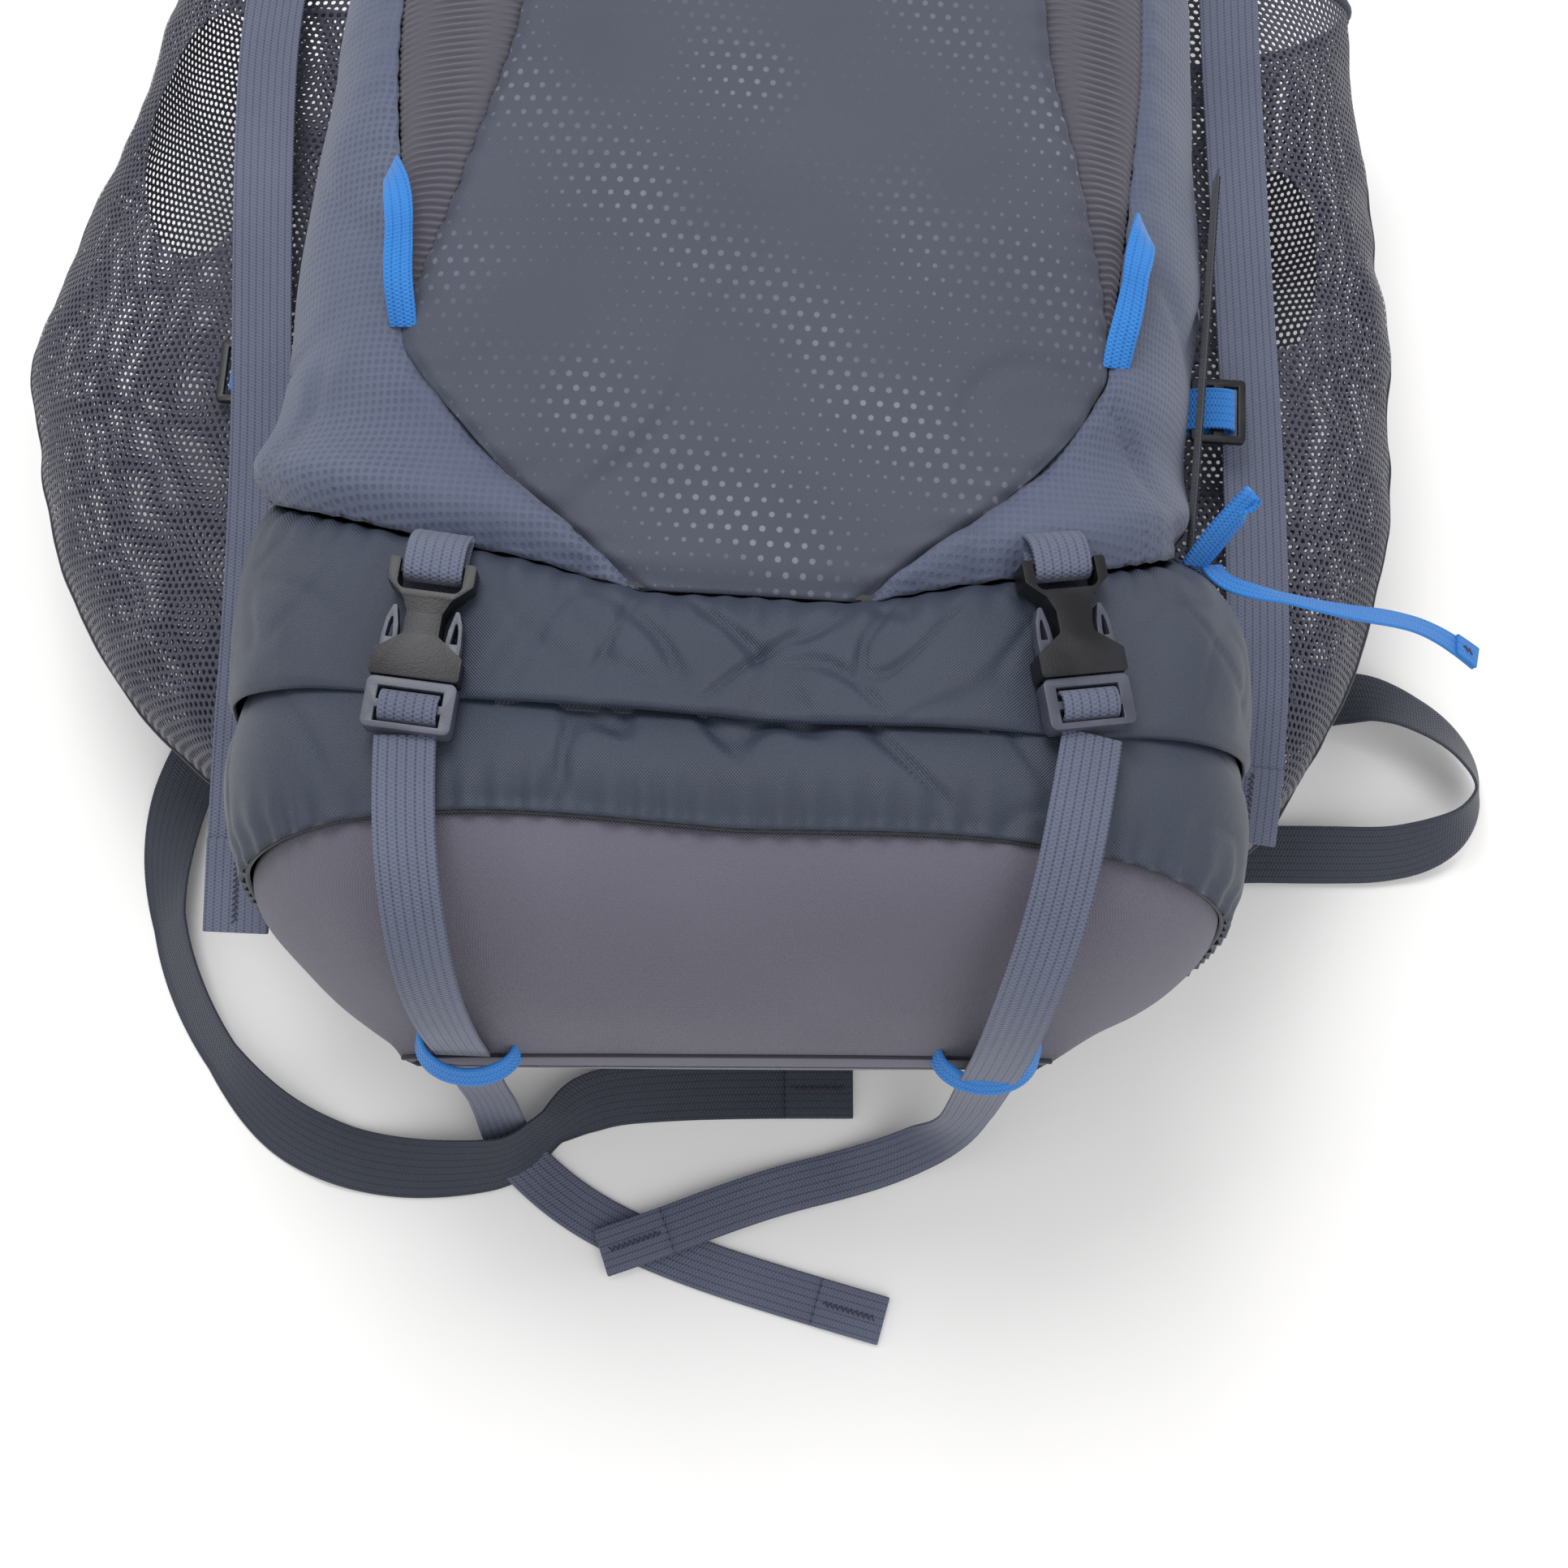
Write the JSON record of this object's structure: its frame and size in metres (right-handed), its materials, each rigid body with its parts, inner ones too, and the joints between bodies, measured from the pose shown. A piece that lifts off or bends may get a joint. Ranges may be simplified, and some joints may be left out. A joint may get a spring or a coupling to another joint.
{
  "type": "trekking daypack",
  "caption": "Top-lid hiking pack lying on its harness, with mesh side pockets, sleeping-pad straps and side-release buckles.",
  "frame": {"origin": "middle of the underside of the box round the pack without its free straps, on the surface it lies on", "axes": "+X across the pack, +Y from the base towards the lid, +Z from the harness towards the front panel"},
  "size_m": [0.6188, 0.7572, 0.287],
  "materials": {
    "shell_lower": "slate nylon, plain weave with a light crumple",
    "shell_panel": "printed polyester twill with a fading dot pattern",
    "shell_side": "slate blue ripstop nylon",
    "shell_base": "warm grey coarse-weave base fabric",
    "shell_stretch": "mauve-grey ribbed stretch fabric",
    "mesh": "dark purple-grey open mesh",
    "back_cloth": "dark air-mesh on foam",
    "webbing": "blue-grey ribbed webbing",
    "belt_webbing": "dark navy webbing",
    "accent": "bright blue webbing",
    "buckle_black": "black acetal, moulded, lightly glossy",
    "buckle_grey": "grey acetal, moulded",
    "zip_metal": "dark enamelled zip slider",
    "frame_metal": "bare drawn aluminium rod",
    "frame_board": "black polyethylene sheet",
    "spring_steel": "bright spring steel"
  },
  "bodies": {
    "bag": {"back_pads": "back_cloth", "back_sheet": "shell_lower", "base_boot": "shell_base", "base_loops": "accent", "belt_adjusters": "buckle_black", "belt_loop_right": "belt_webbing", "belt_tail_left": "belt_webbing", "blue_tabs": "accent", "collar": "shell_side", "cord_lock_barrel": "buckle_black", "cord_lock_spring": "spring_steel", "divider": "shell_lower", "drawcord": "belt_webbing", "frame_rod": "frame_metal", "frame_sheet": "frame_board", "front_panel": "shell_panel", "gussets": "shell_stretch", "harness_females": "buckle_black", "harness_webbing": "belt_webbing", "haul_loop": "webbing", "hip_wing_left": "back_cloth", "hip_wing_right": "back_cloth", "lid_buckles_female": "buckle_black", "lower_shell": "shell_lower", "lumbar_pad": "back_cloth", "mesh_pocket_left": "mesh", "mesh_pocket_right": "mesh", "pad_buckle_webbing": "webbing", "pad_female_left": "buckle_black", "pad_female_right": "buckle_black", "pad_tail_left": "webbing", "pad_tail_right": "webbing", "shoulder_strap_left": "back_cloth", "shoulder_strap_right": "back_cloth", "side_panel_left": "shell_side", "side_panel_right": "shell_side", "side_sliders": "buckle_black", "side_tail_left": "webbing", "side_tail_right": "webbing", "sternum_webbing": "belt_webbing", "zip_flap": "shell_lower", "zip_tapes": "belt_webbing"},
    "lid": {"lid_shell": "shell_side", "lid_zip_tape": "belt_webbing", "lid_straps": "webbing", "lid_buckles_male": "buckle_grey"},
    "lid_slider": {"lid_zip_slider": "zip_metal"},
    "side_slider": {"side_zip_slider": "zip_metal", "zip_pull_long": "accent", "zip_pull_short": "accent"},
    "lower_slider": {"lower_zip_slider": "zip_metal"},
    "cord_lock_plunger": {"cord_lock_button": "buckle_black"},
    "hip_buckle_half": {"hip_male": "buckle_black"},
    "sternum_buckle_half": {"sternum_male": "buckle_black"},
    "pad_buckle_half_left": {"pad_male_left": "buckle_grey"},
    "prong_outer_left": {"pad_prong_outer_left": "buckle_grey"},
    "prong_inner_left": {"pad_prong_inner_left": "buckle_grey"},
    "pad_buckle_half_right": {"pad_male_right": "buckle_grey"},
    "prong_outer_right": {"pad_prong_outer_right": "buckle_grey"},
    "prong_inner_right": {"pad_prong_inner_right": "buckle_grey"}
  },
  "joints": [
    {"name": "lid_hinge", "type": "hinge", "parent": "bag", "child": "lid", "pos_m": [0.024, 0.28765, 0.06], "axis": [-1, 0, 0], "range_deg": [0, 90]},
    {"name": "lid_zip", "type": "slide", "parent": "lid", "child": "lid_slider", "axis": [1, 0, 0], "range_m": [0, 0.22]},
    {"name": "side_zip", "type": "slide", "parent": "bag", "child": "side_slider", "axis": [0.0576, 0.9983, 0], "range_m": [0, 0.145]},
    {"name": "lower_zip", "type": "slide", "parent": "bag", "child": "lower_slider", "axis": [-1, 0, 0], "range_m": [0, 0.14]},
    {"name": "cord_lock_press", "type": "slide", "parent": "bag", "child": "cord_lock_plunger", "axis": [-1, 0, 0], "range_m": [0, 0.004], "stiffness_N_per_m": 600, "deforming": ["cord_lock_spring"]},
    {"name": "hip_release", "type": "slide", "parent": "bag", "child": "hip_buckle_half", "axis": [-1, 0, 0], "range_m": [0, 0.026], "deforming": ["harness_webbing"]},
    {"name": "sternum_release", "type": "slide", "parent": "bag", "child": "sternum_buckle_half", "axis": [-1, 0, 0], "range_m": [0, 0.026], "deforming": ["sternum_webbing"]},
    {"name": "pad_release_left", "type": "slide", "parent": "bag", "child": "pad_buckle_half_left", "axis": [-0.0785, -0.9969, 0], "range_m": [0, 0.026], "deforming": ["pad_tail_left"]},
    {"name": "prong_squeeze_outer_left", "type": "hinge", "parent": "pad_buckle_half_left", "child": "prong_outer_left", "pos_m": [-0.09234, -0.2289, 0.268], "axis": [0, 0, -1], "range_deg": [0, 4], "stiffness_Nm_per_rad": 0.05},
    {"name": "prong_squeeze_inner_left", "type": "hinge", "parent": "pad_buckle_half_left", "child": "prong_inner_left", "pos_m": [-0.07081, -0.2306, 0.268], "axis": [0, 0, 1], "range_deg": [0, 4], "stiffness_Nm_per_rad": 0.05},
    {"name": "pad_release_right", "type": "slide", "parent": "bag", "child": "pad_buckle_half_right", "axis": [0.2079, -0.9781, 0], "range_m": [0, 0.026], "deforming": ["pad_tail_right"]},
    {"name": "prong_squeeze_outer_right", "type": "hinge", "parent": "pad_buckle_half_right", "child": "prong_outer_right", "pos_m": [0.14294, -0.21385, 0.26613], "axis": [0.1699, 0.0361, 0.9848], "range_deg": [0, 4], "stiffness_Nm_per_rad": 0.05},
    {"name": "prong_squeeze_inner_right", "type": "hinge", "parent": "pad_buckle_half_right", "child": "prong_inner_right", "pos_m": [0.12213, -0.21827, 0.26987], "axis": [-0.1699, -0.0361, -0.9848], "range_deg": [0, 4], "stiffness_Nm_per_rad": 0.05}
  ],
  "couplings": [
    {"joint": "prong_squeeze_inner_left", "follows": "prong_squeeze_outer_left", "ratio": 1},
    {"joint": "prong_squeeze_inner_right", "follows": "prong_squeeze_outer_right", "ratio": 1}
  ]
}
